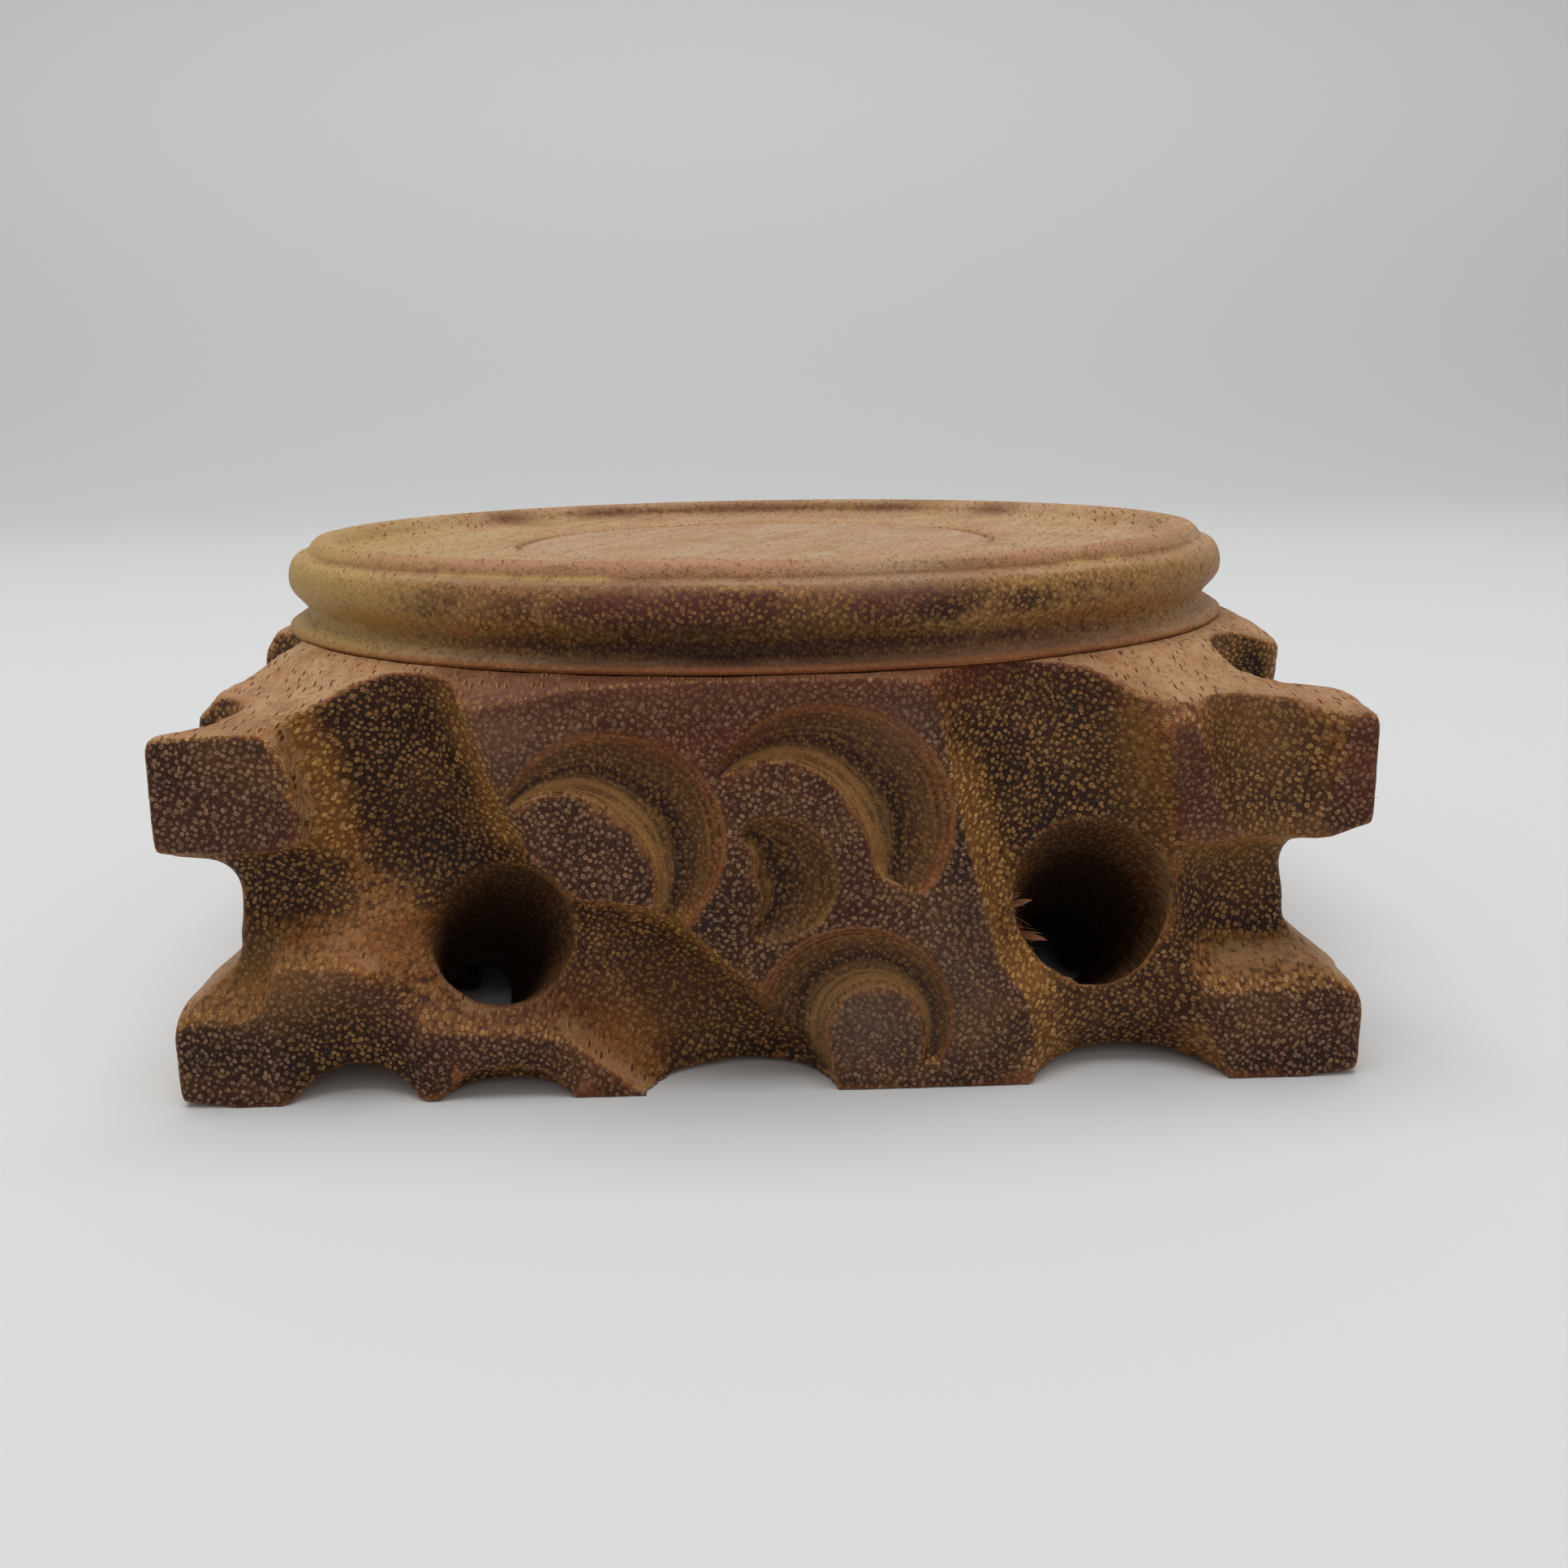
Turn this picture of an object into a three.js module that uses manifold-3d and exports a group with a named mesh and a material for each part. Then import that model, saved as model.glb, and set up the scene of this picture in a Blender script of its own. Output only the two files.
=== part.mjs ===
// A square display stand of carved hardwood: a hollow openwork base, a turned round tray on it, and a
// disc let into the tray's floor. Millimetres, +Z up, the front face looks along -Y, and the origin is
// on the table under the middle of the stand.

import * as THREE from "three";
import { mergeVertices } from "three/addons/utils/BufferGeometryUtils.js";
import Module from "manifold-3d";

const wasm = await Module();
wasm.setup();

// Driving dimensions of the base: the wall is what is left between a side and the round hollow inside
const base_side = 100;
const base_height = 35.4;
const wall_thickness = 13;
const bore_radius = 6.3;
const gouge_depth = 2.4;

// Driving dimensions of the tray, which spans the base, and of the disc in its floor
const tray_inset = 1.3;
const tray_height = 8.8;
const bead_overhang = 1.5;
const rim_setback = 3.5;
const rim_width = 2.2;
const dish_depth = 1.7;
const neck_flare = 1.7;
const tenon_length = 7;
const disc_radius = 25.3;
const disc_thickness = 2.6;
const disc_bevel = 1.7;

// Room left where one piece fits in another, and how far a cutter runs past what it cuts
const fit_clearance = 0.3;
const overrun = 6;

const half_side = base_side / 2;
const corner_radius = half_side * Math.SQRT2;
const cavity_radius = half_side - wall_thickness;
const tray_radius = half_side - tray_inset;
const neck_radius = tray_radius - bead_overhang;
const rim_radius = tray_radius - rim_setback;
const dish_radius = rim_radius - rim_width;
const quarter_turn = Math.PI / 2;

// Facets round a turned piece, a gouge, a drilled hole and an arch, and the rings of a gouge's round end
const turning_steps = 48;
const gouge_steps = 12;
const bore_steps = 16;
const arch_steps = 40;
const end_rings = 3;


// Solids: a closed three.js geometry becomes a solid that can be cut and joined, and comes back as a mesh

function solid(geometry) {
  const plain = geometry.clone();
  plain.deleteAttribute("normal");
  plain.deleteAttribute("uv");
  const merged = mergeVertices(plain);
  return new wasm.Manifold(new wasm.Mesh({
    numProp: 3,
    vertProperties: new Float32Array(merged.attributes.position.array),
    triVerts: new Uint32Array(merged.index.array),
  }));
}

function piece(name, shape, colour, roughness) {
  const { vertProperties, triVerts } = shape.getMesh();
  const geometry = new THREE.BufferGeometry();
  geometry.setAttribute("position", new THREE.BufferAttribute(new Float32Array(vertProperties), 3));
  geometry.setIndex(new THREE.BufferAttribute(new Uint32Array(triVerts), 1));
  geometry.computeVertexNormals();
  const material = new THREE.MeshStandardMaterial({ color: colour, roughness, metalness: 0 });
  const mesh = new THREE.Mesh(geometry, material);
  mesh.name = name;
  return mesh;
}

// A lathe profile is a list of radius and height, from the axis round to the axis again
function turned(profile) {
  const points = profile.map(([radius, height]) => new THREE.Vector2(radius, height));
  const geometry = new THREE.LatheGeometry(points, turning_steps);
  geometry.rotateX(quarter_turn);
  return solid(geometry);
}


// Carving. Every cut is placed on the front face: across it from the middle, in from its plane, and up
// from the table. Across and in are shares of half the side, and up is a share of the base's height.

function on_face([across_share, inward_share, up_share]) {
  return new THREE.Vector3(
    across_share * half_side,
    (inward_share - 1) * half_side,
    up_share * base_height,
  );
}

// A round-ended gouge drawn from one place to another, and pressed flatter or deeper where asked
function gouged(from, to, radius, depth_share = 1, steps = gouge_steps) {
  const middle = from.clone().add(to).multiplyScalar(0.5);
  const run = to.clone().sub(from);
  const geometry = new THREE.CapsuleGeometry(radius, run.length(), end_rings, steps);
  const turn = new THREE.Quaternion().setFromUnitVectors(new THREE.Vector3(0, 1, 0), run.normalize());
  geometry.applyQuaternion(turn);
  geometry.scale(1, depth_share, 1);
  geometry.translate(middle.x, middle.y, middle.z);
  return solid(geometry);
}

// The flowing hollows between the corner tabs, the middle panel and the feet
const hollow_shares = [
  { of: "left hollow", from: [-0.644, 0.016, 1.25], to: [-0.606, 0.016, 0.58], radius: 0.142 },
  { of: "its foot", from: [-0.604, 0.01, 0.58], to: [-0.46, 0.026, 0.4], radius: 0.128 },
  { of: "right hollow", from: [0.42, -0.072, 1.25], to: [0.512, -0.072, 0.42], radius: 0.188 },
  { of: "corner scoop", from: [0.815, -0.01, 1.2], to: [0.856, -0.01, 0.6], radius: 0.088, depth: 1.2 },
  { of: "left waist", from: [-1.3, -0.05, 0.39], to: [-0.92, -0.05, 0.39], radius: 0.146 },
  { of: "its upper part", from: [-1.1, -0.024, 0.46], to: [-0.6, -0.024, 0.455], radius: 0.104 },
  { of: "right waist", from: [1.3, -0.05, 0.385], to: [0.74, -0.05, 0.385], radius: 0.143 },
  { of: "right lip", from: [0.548, -0.126, 0.4], to: [0.6, -0.126, -0.1], radius: 0.196 },
  { of: "valley", from: [-0.196, -0.016, 0.27], to: [-0.03, -0.006, 0.04], radius: 0.108, depth: 1.15 },
  { of: "valley bowl", from: [-0.222, -0.034, 0.31], to: [-0.186, -0.034, 0.28], radius: 0.13, depth: 1.1 },
  { of: "rail", from: [-0.48, -0.06, 0.06], to: [-0.42, -0.06, 0.06], radius: 0.105, depth: 0.95 },
  { of: "left arch mouth", from: [-0.728, -0.02, 0], to: [-0.728, -0.02, 0.07], radius: 0.122, depth: 1.25 },
  { of: "right arch mouth", from: [0.59, -0.036, -0.05], to: [0.636, -0.036, -0.05], radius: 0.158,
    depth: 1.05 },
];

// Low arches between the feet: half their width, their rise, and how far in they run
const arch_shares = [
  { across: -0.728, half_width: 0.105, rise: 0.068, length: 0.56 },
  { across: -0.448, half_width: 0.110, rise: 0.022, length: 0.50 },
  { across: -0.050, half_width: 0.130, rise: 0.026, length: 0.50 },
  { across: 0.612, half_width: 0.150, rise: 0.034, length: 0.80 },
];

// Drilled holes: the place of the round mouth, and how far the hole turns to the left as it goes in
const bore_shares = [
  { mouth: [-0.438, 0.044, 0.39], turn: THREE.MathUtils.degToRad(19) },
  { mouth: [0.536, 0.110, 0.415], turn: THREE.MathUtils.degToRad(9) },
];
const bore_length_share = 0.62;

// Crescent gouges on the middle panel: each lies on an arc, is widest where it faces, and thins to its
// tips, which are the span's two ends in degrees from there
const crescent_shares = [
  { of: "left crescent", centre: [-0.274, 0.61], arc: 0.138, width: 0.026, swell: 0.041, facing: 43,
    span: [-92, 118] },
  { of: "upper crescent", centre: [0.073, 0.654], arc: 0.154, width: 0.029, swell: 0.036, facing: 40,
    span: [-94, 124] },
  { of: "comma", centre: [-0.029, 0.52], arc: 0.076, width: 0.016, swell: 0.041, facing: -3,
    span: [-104, 104] },
  { of: "lower crescent", centre: [0.151, 0.138], arc: 0.138, width: 0.036, swell: 0.008, facing: 75,
    span: [-108, 120] },
];

// A spindle bent round an arc: a unit sphere whose poles become the crescent's tips. Its rings are
// spread along the arc, and each is widened so that only the last part before a tip runs thin.
const tip_share = 0.02;

function crescent({ centre, arc, width, swell, facing, span }) {
  const [across_share, up_share] = centre;
  const middle = on_face([across_share, 0, up_share]);
  const widest = width + swell;
  const geometry = new THREE.SphereGeometry(1, 8, 10);
  const place = geometry.attributes.position;
  for (let i = 0; i < place.count; i += 1) {
    const along = Math.asin(THREE.MathUtils.clamp(place.getY(i), -1, 1)) / quarter_turn;
    const turn = THREE.MathUtils.degToRad(along < 0 ? -along * span[0] : along * span[1]);
    const angle = THREE.MathUtils.degToRad(facing) + turn;
    const here = Math.max(width + swell * Math.cos(turn), width * 0.2);
    const round = 1 / Math.sqrt(Math.max(Math.cos(along * quarter_turn), tip_share));
    const radius = (arc + place.getX(i) * here * round) * half_side;
    const inward = place.getZ(i) * round * gouge_depth * Math.sqrt(here / widest);
    const across = radius * Math.cos(angle);
    const up = radius * Math.sin(angle);
    place.setXYZ(i, middle.x + across, middle.y - inward, middle.z + up);
  }
  return solid(geometry);
}

function arch({ across, half_width, rise, length }) {
  const half = half_width * half_side;
  const height = rise * base_height;
  const radius = (half * half + height * height) / (2 * height);
  const run = length * half_side + overrun;
  const geometry = new THREE.CylinderGeometry(radius, radius, run, arch_steps);
  geometry.translate(across * half_side, run / 2 - half_side - overrun, height - radius);
  return solid(geometry);
}

function bore({ mouth, turn }) {
  const from = on_face(mouth);
  const direction = new THREE.Vector3(-Math.sin(turn), Math.cos(turn), 0);
  const run = direction.multiplyScalar(bore_length_share * half_side);
  return gouged(from, from.clone().add(run), bore_radius, 1, bore_steps);
}

function carving_of_one_side() {
  const cuts = [
    ...hollow_shares.map(({ from, to, radius, depth }) =>
      gouged(on_face(from), on_face(to), radius * half_side, depth)),
    ...arch_shares.map(arch),
    ...bore_shares.map(bore),
    ...crescent_shares.map(crescent),
  ];
  return wasm.Manifold.union(cuts);
}


// The carved base: a square block whose shoulder was turned with the tray, hollowed from below, and
// carved alike on all four sides

const seat_radius = neck_radius + neck_flare;
const shoulder_shares = [
  [0.12, 0.010], [0.21, 0.034], [0.32, 0.066], [0.50, 0.088], [0.75, 0.100], [1.02, 0.106],
];

function carved_base() {
  const shoulder = shoulder_shares.map(([out_share, drop_share]) => [
    seat_radius + (corner_radius - seat_radius) * out_share,
    base_height * (1 - drop_share),
  ]);
  const outermost = shoulder[shoulder.length - 1][0];
  const top = turned([[0, 0], [outermost, 0], ...shoulder.toReversed(), [seat_radius, base_height],
    [0, base_height]]);
  const block = new THREE.BoxGeometry(base_side, base_side, base_height * 2);
  const cavity = turned([[0, -overrun], [cavity_radius, -overrun], [cavity_radius, base_height + overrun],
    [0, base_height + overrun]]);
  const one_side = carving_of_one_side();
  const sides = [0, 90, 180, 270].map((degrees) => one_side.rotate([0, 0, degrees]));
  return solid(block).intersect(top).subtract(wasm.Manifold.union([cavity, ...sides]));
}


// The turned tray: rim, dish, bead, neck, and a tenon that drops into the base's bore

const floor_height = base_height + tray_height - dish_depth;
const recess_floor = floor_height - disc_thickness;

function turned_tray() {
  const rim_height = base_height + tray_height;
  const bead_height = rim_height - tray_height * 0.43;
  const bead_half = tray_height * 0.26;
  const tenon_radius = cavity_radius - fit_clearance;
  const recess_radius = disc_radius + fit_clearance;
  const bead_foot = bead_height - bead_half;
  const step_radius = rim_radius + rim_setback * 0.45;
  const bead_shares = [-0.8, -0.4, 0, 0.4, 0.8];
  const bead = bead_shares.map((up_share) => [
    neck_radius + bead_overhang * Math.cos(up_share),
    bead_height + bead_half * up_share,
  ]);
  return turned([
    [0, base_height - tenon_length],
    [tenon_radius, base_height - tenon_length],
    [tenon_radius, base_height],
    [seat_radius, base_height],
    [neck_radius, base_height + (bead_foot - base_height) * 0.35],
    [neck_radius, bead_foot],
    ...bead,
    [step_radius, rim_height - tray_height * 0.1],
    [rim_radius + rim_width * 0.3, rim_height],
    [rim_radius - rim_width * 0.3, rim_height],
    [dish_radius, floor_height],
    [recess_radius, floor_height],
    [recess_radius, recess_floor],
    [0, recess_floor],
  ]);
}


// The disc let into the floor of the tray, with a bevelled edge

function centre_disc() {
  return turned([
    [0, recess_floor],
    [disc_radius, recess_floor],
    [disc_radius, floor_height - disc_bevel * 0.25],
    [disc_radius - disc_bevel, floor_height],
    [0, floor_height],
  ]);
}

const stand = new THREE.Group();
stand.add(piece("carved_base", carved_base(), 0x6e4322, 0.7));
stand.add(piece("turned_tray", turned_tray(), 0x93602f, 0.65));
stand.add(piece("centre_disc", centre_disc(), 0xa5743f, 0.65));

export default stand;
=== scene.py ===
import math
import random

import bmesh
import bpy
import numpy as np
from mathutils import Matrix, Vector
from mathutils.noise import noise


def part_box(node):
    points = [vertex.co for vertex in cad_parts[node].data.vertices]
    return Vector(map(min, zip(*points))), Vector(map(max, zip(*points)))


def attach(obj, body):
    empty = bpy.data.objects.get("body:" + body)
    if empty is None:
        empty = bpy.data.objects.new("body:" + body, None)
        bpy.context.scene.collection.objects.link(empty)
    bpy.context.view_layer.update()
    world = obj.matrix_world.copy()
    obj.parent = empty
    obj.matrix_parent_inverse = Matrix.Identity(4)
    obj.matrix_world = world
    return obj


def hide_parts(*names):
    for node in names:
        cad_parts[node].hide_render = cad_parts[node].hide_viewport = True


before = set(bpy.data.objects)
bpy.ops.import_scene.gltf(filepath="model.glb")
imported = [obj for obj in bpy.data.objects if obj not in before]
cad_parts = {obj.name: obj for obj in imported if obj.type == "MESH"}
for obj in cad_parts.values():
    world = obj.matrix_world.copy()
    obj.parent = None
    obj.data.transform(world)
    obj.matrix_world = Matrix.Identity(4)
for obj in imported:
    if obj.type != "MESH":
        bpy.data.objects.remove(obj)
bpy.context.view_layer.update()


# The carved base
# A square block of coarse tropical hardwood, carved by hand on all four sides: hollows and waists,
# two drilled holes, crescent gouges and low arches that leave its feet. The grain runs front to back.

MM = 0.001
base_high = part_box("carved_base")[1]
half_side = base_high.x
base_height = base_high.z
wall = 13 * MM
cavity_radius = half_side - wall
corner_radius = half_side * math.sqrt(2)
gouge_depth = 2.4 * MM
overrun = 6 * MM
weld_distance = 0.001 * MM
shoulder_start = 48.9 * MM
worn_corner = 4.5 * MM
worn_depth = 0.09 * MM
wave_depth = 0.13 * MM
rim_reach_share = 1.15
widest_crescent_share = 0.14
soft_step = 0.6 * MM
fine_step = 0.4 * MM
corner_passes = 70
top_passes = 14
most_triangles = 190000

# Gouge strokes of one side, each the hull of its balls. A ball is a place on the face, as shares across
# and in from it of half the side, and up of the height, with a radius as a share of half the side
hollow_shares = {
    "left hollow": [((-0.706, 0.050, 1.25), 0.123), ((-0.588, 0.044, 0.60), 0.156)],
    "its foot": [((-0.588, 0.040, 0.60), 0.150), ((-0.470, 0.040, 0.42), 0.132)],
    "its right edge": [((-0.545, -0.044, 1.02), 0.064), ((-0.444, -0.044, 0.62), 0.064)],
    "left tab's corner": [((-0.782, -0.010, 0.975), 0.060), ((-0.712, -0.010, 0.873), 0.060)],
    "right hollow": [((0.405, -0.080, 1.25), 0.204), ((0.526, -0.070, 0.42), 0.182)],
    "tab top": [((0.560, -0.020, 0.940), 0.053), ((0.740, -0.020, 0.940), 0.053)],
    "corner scoop": [((0.812, 0.030, 1.10), 0.125), ((0.838, -0.110, 0.56), 0.120)],
    "left waist": [((-1.30, 0.040, 0.330), 0.040), ((-0.870, 0.040, 0.330), 0.040),
                   ((-1.30, 0.020, 0.500), 0.060), ((-0.860, 0.020, 0.535), 0.060),
                   ((-1.30, -0.080, 0.556), 0.020), ((-0.860, -0.080, 0.590), 0.020),
                   ((-1.30, -0.080, 0.140), 0.020), ((-0.870, -0.080, 0.140), 0.020)],
    "its upper part": [((-0.960, 0.044, 0.490), 0.068), ((-0.620, 0.044, 0.480), 0.068),
                       ((-0.900, 0.040, 0.530), 0.055), ((-0.660, 0.040, 0.548), 0.055),
                       ((-0.920, -0.080, 0.588), 0.020), ((-0.700, -0.080, 0.606), 0.020),
                       ((-0.820, -0.080, 0.310), 0.020), ((-0.660, -0.080, 0.300), 0.020)],
    "right waist": [((1.30, 0.060, 0.352), 0.040), ((0.740, 0.060, 0.352), 0.040),
                    ((1.30, 0.040, 0.492), 0.060), ((0.740, 0.040, 0.492), 0.060),
                    ((1.30, -0.080, 0.554), 0.020), ((0.660, -0.080, 0.554), 0.020),
                    ((1.30, -0.080, 0.175), 0.020), ((0.660, -0.080, 0.175), 0.020)],
    "hump's right side": [((-0.600, 0.020, 0.420), 0.092), ((-0.500, 0.020, 0.360), 0.110)],
    "left lip": [((-0.560, -0.058, 0.330), 0.125), ((-0.280, -0.058, 0.274), 0.112)],
    "right lip": [((0.566, -0.126, 0.400), 0.198), ((0.606, -0.126, -0.100), 0.198)],
    "hole brow": [((-0.450, 0.030, 0.420), 0.116), ((-0.480, 0.130, 0.370), 0.108)],
    "valley head": [((-0.390, 0.010, 0.365), 0.095), ((-0.236, -0.010, 0.280), 0.135)],
    "valley": [((-0.236, -0.002, 0.270), 0.134), ((-0.026, 0.002, 0.010), 0.126)],
    "rail": [((-0.480, -0.020, -0.030), 0.084), ((-0.420, -0.020, -0.030), 0.084)],
    "left arch mouth": [((-0.704, -0.126, -0.020), 0.170), ((-0.704, -0.126, 0.125), 0.170)],
    "right arch mouth": [((0.585, -0.030, -0.050), 0.156), ((0.620, -0.030, -0.050), 0.156)],
}
# Cuts that only one side has, each with its side as quarter turns from the front
single_hollow_shares = [
    (0, [((1.30, 0.090, 0.352), 0.040), ((0.780, 0.090, 0.352), 0.040), ((1.30, 0.070, 0.476), 0.060),
         ((0.780, 0.070, 0.476), 0.060), ((1.30, -0.080, 0.500), 0.020), ((0.700, -0.080, 0.500), 0.020),
         ((1.30, -0.080, 0.230), 0.020), ((0.700, -0.080, 0.230), 0.020)]),
    (1, [((-1.30, 0.060, 0.352), 0.040), ((-0.600, 0.060, 0.352), 0.040), ((-1.30, 0.040, 0.492), 0.060),
         ((-0.600, 0.040, 0.492), 0.060), ((-1.30, -0.080, 0.554), 0.020), ((-0.600, -0.080, 0.554), 0.020),
         ((-1.30, -0.080, 0.175), 0.020), ((-0.600, -0.080, 0.175), 0.020)]),
    (1, [((-0.450, -0.120, 1.10), 0.160), ((0.450, -0.120, 1.10), 0.160)]),
    (3, [((-0.450, -0.120, 1.10), 0.164), ((0.450, -0.120, 1.10), 0.164)]),
]
# Holes, as a chain of balls from outside the face to the cavity, each a place on the face and a radius
hole_shares = [
    [((-0.420, -0.12, 0.455), 0.124), ((-0.464, 0.14, 0.350), 0.118), ((-0.536, 0.34, 0.104), 0.058),
     ((-0.580, 0.48, -0.020), 0.052)],
    [((0.536, -0.12, 0.480), 0.134), ((0.546, 0.10, 0.424), 0.132), ((0.556, 0.17, 0.330), 0.124),
     ((0.548, 0.34, 0.190), 0.072), ((0.532, 0.50, 0.070), 0.068)],
]
# Arches under the base: middle, half width, rise and length inwards
arch_shares = [
    (-0.704, 0.108, 0.072, 0.56),
    (-0.448, 0.110, 0.022, 0.50),
    (-0.050, 0.130, 0.012, 0.50),
    (0.612, 0.150, 0.034, 0.80),
]
# Crescents: middle, arc radius, half width, swell, the way each faces, its two ends in degrees, and how
# pointed each end is
crescent_shares = {
    "left crescent": ((-0.297, 0.578), 0.161, 0.024, 0.046, 41, (-84, 116), (0.10, 0.30)),
    "upper crescent": ((0.053, 0.617), 0.176, 0.031, 0.043, 31, (-58, 117), (0.08, 0.35)),
    "comma": ((-0.045, 0.515), 0.088, 0.014, 0.050, 6, (-103, 86), (0.35, 0.15)),
    "lower crescent": ((0.151, 0.154), 0.126, 0.045, 0.014, 156, (-192, 78), (0.30, 0.10)),
}
# The turned shoulder: out from the tray's foot to the corners, and down from the top
shoulder_shares = [(0.0, 0.0), (0.12, 0.010), (0.21, 0.034), (0.32, 0.066), (0.50, 0.088), (0.75, 0.100),
                   (1.02, 0.106)]


def on_face(place):
    across, inward, up = place
    return Vector((across * half_side, (inward - 1) * half_side, up * base_height))


def new_piece(name, shape):
    mesh = bpy.data.meshes.new(name)
    shape.to_mesh(mesh)
    shape.free()
    made = bpy.data.objects.new(name, mesh)
    bpy.context.scene.collection.objects.link(made)
    return made


def add_to(shape, part):
    mesh = bpy.data.meshes.new("part")
    part.to_mesh(mesh)
    part.free()
    shape.from_mesh(mesh)
    bpy.data.meshes.remove(mesh)


def verts_in(geometry):
    return [part for part in geometry if isinstance(part, bmesh.types.BMVert)]


def quarter_turn(quarter):
    return Matrix.Rotation(quarter * math.pi / 2, 3, "Z")


def stroke(balls):
    """The hull of balls, each a place on the face and a radius."""
    made = bmesh.new()
    for place, radius in balls:
        ball = Matrix.Translation(on_face(place))
        bmesh.ops.create_icosphere(made, subdivisions=4, radius=radius * half_side, matrix=ball)
    bmesh.ops.delete(made, geom=made.edges[:], context="EDGES_FACES")
    hull = bmesh.ops.convex_hull(made, input=made.verts)
    bmesh.ops.delete(made, geom=verts_in(hull["geom_interior"]), context="VERTS")
    bmesh.ops.recalc_face_normals(made, faces=made.faces)
    return made


def on_all_sides(shape):
    """Repeats a side's cuts on the other three: once by a quarter turn, then both by a half turn."""
    for quarters in (1, 2):
        copied = bmesh.ops.duplicate(shape, geom=shape.verts[:] + shape.edges[:] + shape.faces[:])["geom"]
        bmesh.ops.rotate(shape, cent=(0, 0, 0), matrix=quarter_turn(quarters), verts=verts_in(copied))


def apply_to(piece, kind, **settings):
    modifier = piece.modifiers.new(kind.lower(), kind)
    for setting, value in settings.items():
        setattr(modifier, setting, value)
    with bpy.context.temp_override(object=piece, active_object=piece):
        bpy.ops.object.modifier_apply(modifier=modifier.name)


def cut_away(piece, cutter, operation="DIFFERENCE"):
    apply_to(piece, "BOOLEAN", object=cutter, operation=operation, solver="MANIFOLD")
    bpy.data.objects.remove(cutter)


def turned_solid(name, profile, steps):
    """Spins a profile of radius and height, which starts and ends on the axis."""
    shape = bmesh.new()
    points = [shape.verts.new((radius, 0, height)) for radius, height in profile]
    for first, second in zip(points, points[1:]):
        shape.edges.new((first, second))
    bmesh.ops.spin(shape, geom=shape.verts[:] + shape.edges[:], cent=(0, 0, 0), axis=(0, 0, 1),
                   angle=2 * math.pi, steps=steps, use_merge=True)
    bmesh.ops.remove_doubles(shape, verts=shape.verts, dist=weld_distance)
    bmesh.ops.recalc_face_normals(shape, faces=shape.faces)
    return new_piece(name, shape)


def crescent_width(width, swell, turn, along, points):
    """Half the width at a turn from the way it faces, along from -1 to 1 between its two points."""
    fullness = max(math.cos(along * math.pi / 2), 0.0) ** points[0 if along < 0 else 1]
    return max(width + swell * math.cos(turn), width * 0.2) * fullness


def crescent(centre, arc, width, swell, facing, span, points):
    """A ball whose poles become the tips, bent round its arc. It is deepest nearer its inner edge."""
    middle = on_face((centre[0], 0, centre[1]))
    part = bmesh.new()
    bmesh.ops.create_uvsphere(part, u_segments=40, v_segments=80, radius=1)
    for vert in part.verts:
        along = math.asin(max(-1, min(1, vert.co.z))) / (math.pi / 2)
        turn = math.radians(-along * span[0] if along < 0 else along * span[1])
        here = crescent_width(width, swell, turn, along, points)
        round_share = max(math.cos(along * math.pi / 2), 0.001)
        depth = max(vert.co.y / round_share, -1) * gouge_depth * math.sqrt(here / (width + swell))
        lean = 0.34 * here * max(vert.co.y / round_share, 0)
        radius = (arc + vert.co.x / round_share * here - lean) * half_side
        angle = math.radians(facing) + turn
        vert.co = middle + Vector((radius * math.cos(angle), depth, radius * math.sin(angle)))
    bmesh.ops.remove_doubles(part, verts=part.verts, dist=weld_distance)
    bmesh.ops.recalc_face_normals(part, faces=part.faces)
    return part


# The turned shoulder, the square and the cavity make the block
base = turned_solid("carved_base_wood", [
    (0, 0), (shoulder_start + (corner_radius - shoulder_start) * shoulder_shares[-1][0], 0),
    *[(shoulder_start + (corner_radius - shoulder_start) * out, base_height * (1 - drop))
      for out, drop in reversed(shoulder_shares)],
    (0, base_height)], 192)
block = bmesh.new()
bmesh.ops.create_cube(block, size=2, matrix=Matrix.Diagonal((half_side, half_side, base_height, 1)))
cut_away(base, new_piece("block", block), "INTERSECT")
cavity = bmesh.new()
bmesh.ops.create_cone(cavity, cap_ends=True, segments=192, radius1=cavity_radius, radius2=cavity_radius,
                      depth=4 * base_height)
cut_away(base, new_piece("cavity", cavity))

# Drilled holes, arches and crescents have crisp edges
crisp_cuts = []
for chain in hole_shares:
    for pair in zip(chain, chain[1:]):
        crisp_cuts.append(stroke(pair))
for across, half_width, rise, length in arch_shares:
    half = half_width * half_side
    height = rise * base_height
    radius = (half * half + height * height) / (2 * height)
    run = length * half_side + overrun
    middle = Vector((across * half_side, run / 2 - half_side - overrun, height - radius))
    arch = bmesh.new()
    bmesh.ops.create_cone(arch, cap_ends=True, segments=256, radius1=radius, radius2=radius, depth=run,
                          matrix=Matrix.Translation(middle) @ Matrix.Rotation(math.pi / 2, 4, "X"))
    crisp_cuts.append(arch)
for shares in crescent_shares.values():
    crisp_cuts.append(crescent(*shares))
for cut in crisp_cuts:
    for quarter in range(4):
        turned = cut.copy()
        bmesh.ops.rotate(turned, cent=(0, 0, 0), matrix=quarter_turn(quarter), verts=turned.verts)
        cut_away(base, new_piece("cutter", turned))
    cut.free()

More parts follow.
